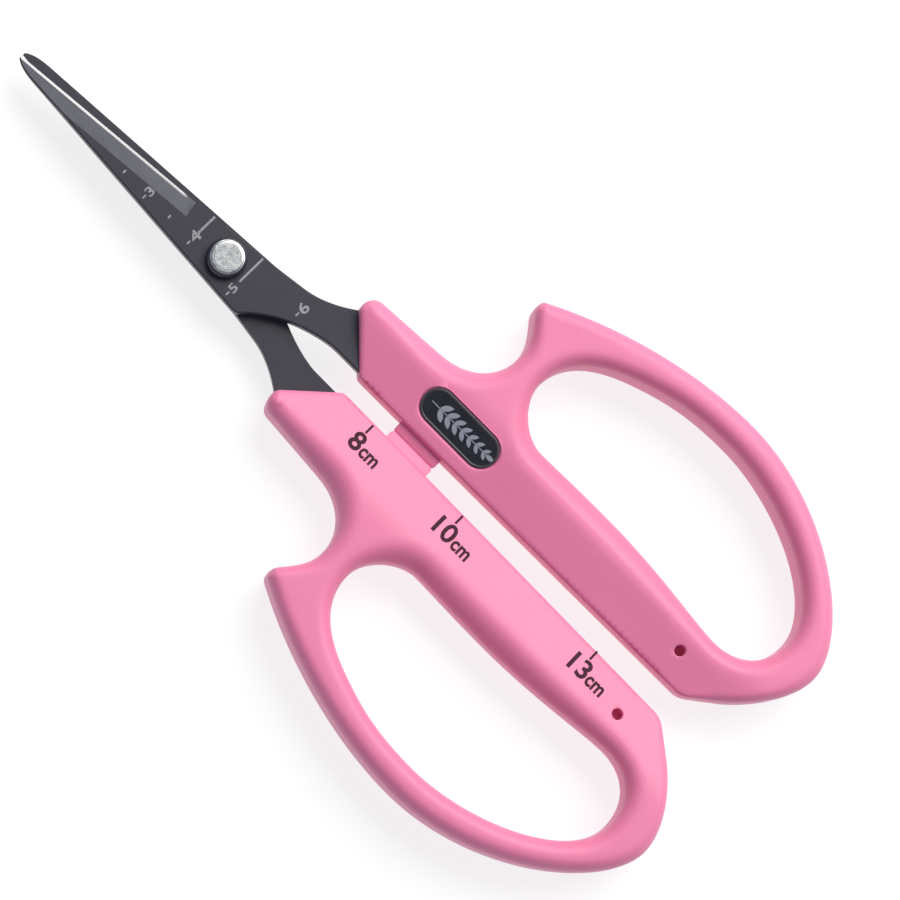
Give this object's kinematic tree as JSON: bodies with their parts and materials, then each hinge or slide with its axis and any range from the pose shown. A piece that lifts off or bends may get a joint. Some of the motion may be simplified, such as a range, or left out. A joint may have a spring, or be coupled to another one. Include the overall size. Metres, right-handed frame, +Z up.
{
  "type": "floral snips",
  "caption": "Long slim cutting snips for flowers and light pruning, with coated pointed blades on a rivet and wide moulded finger loops with a depth scale.",
  "frame": {"origin": "under the middle of the closed snips, on the surface they lie on", "axes": "+X along the snips towards the blade tips, +Y towards the handle with the depth scale, +Z up, square to the blades, towards the rivet's head"},
  "size_m": [0.1579, 0.082, 0.011],
  "materials": {
    "blade_coat": "satin black coating, ground edge bare",
    "handle_plastic": "satin moulded plastic",
    "rivet_steel": "turned, bright",
    "washer_coat": "satin black coating",
    "label_face": "glossy with a silver motif"
  },
  "bodies": {
    "upper_half": {"upper_blade": "blade_coat", "right_handle": "handle_plastic", "pivot_rivet": "rivet_steel", "tail_washer": "washer_coat", "label_plate": "label_face"},
    "lower_half": {"lower_blade": "blade_coat", "left_handle": "handle_plastic"}
  },
  "joints": [
    {"name": "pivot", "type": "hinge", "parent": "upper_half", "child": "lower_half", "pos_m": [0.03335, 0, 0.0055], "axis": [0, 0, -1], "range_deg": [0, 142]}
  ]
}
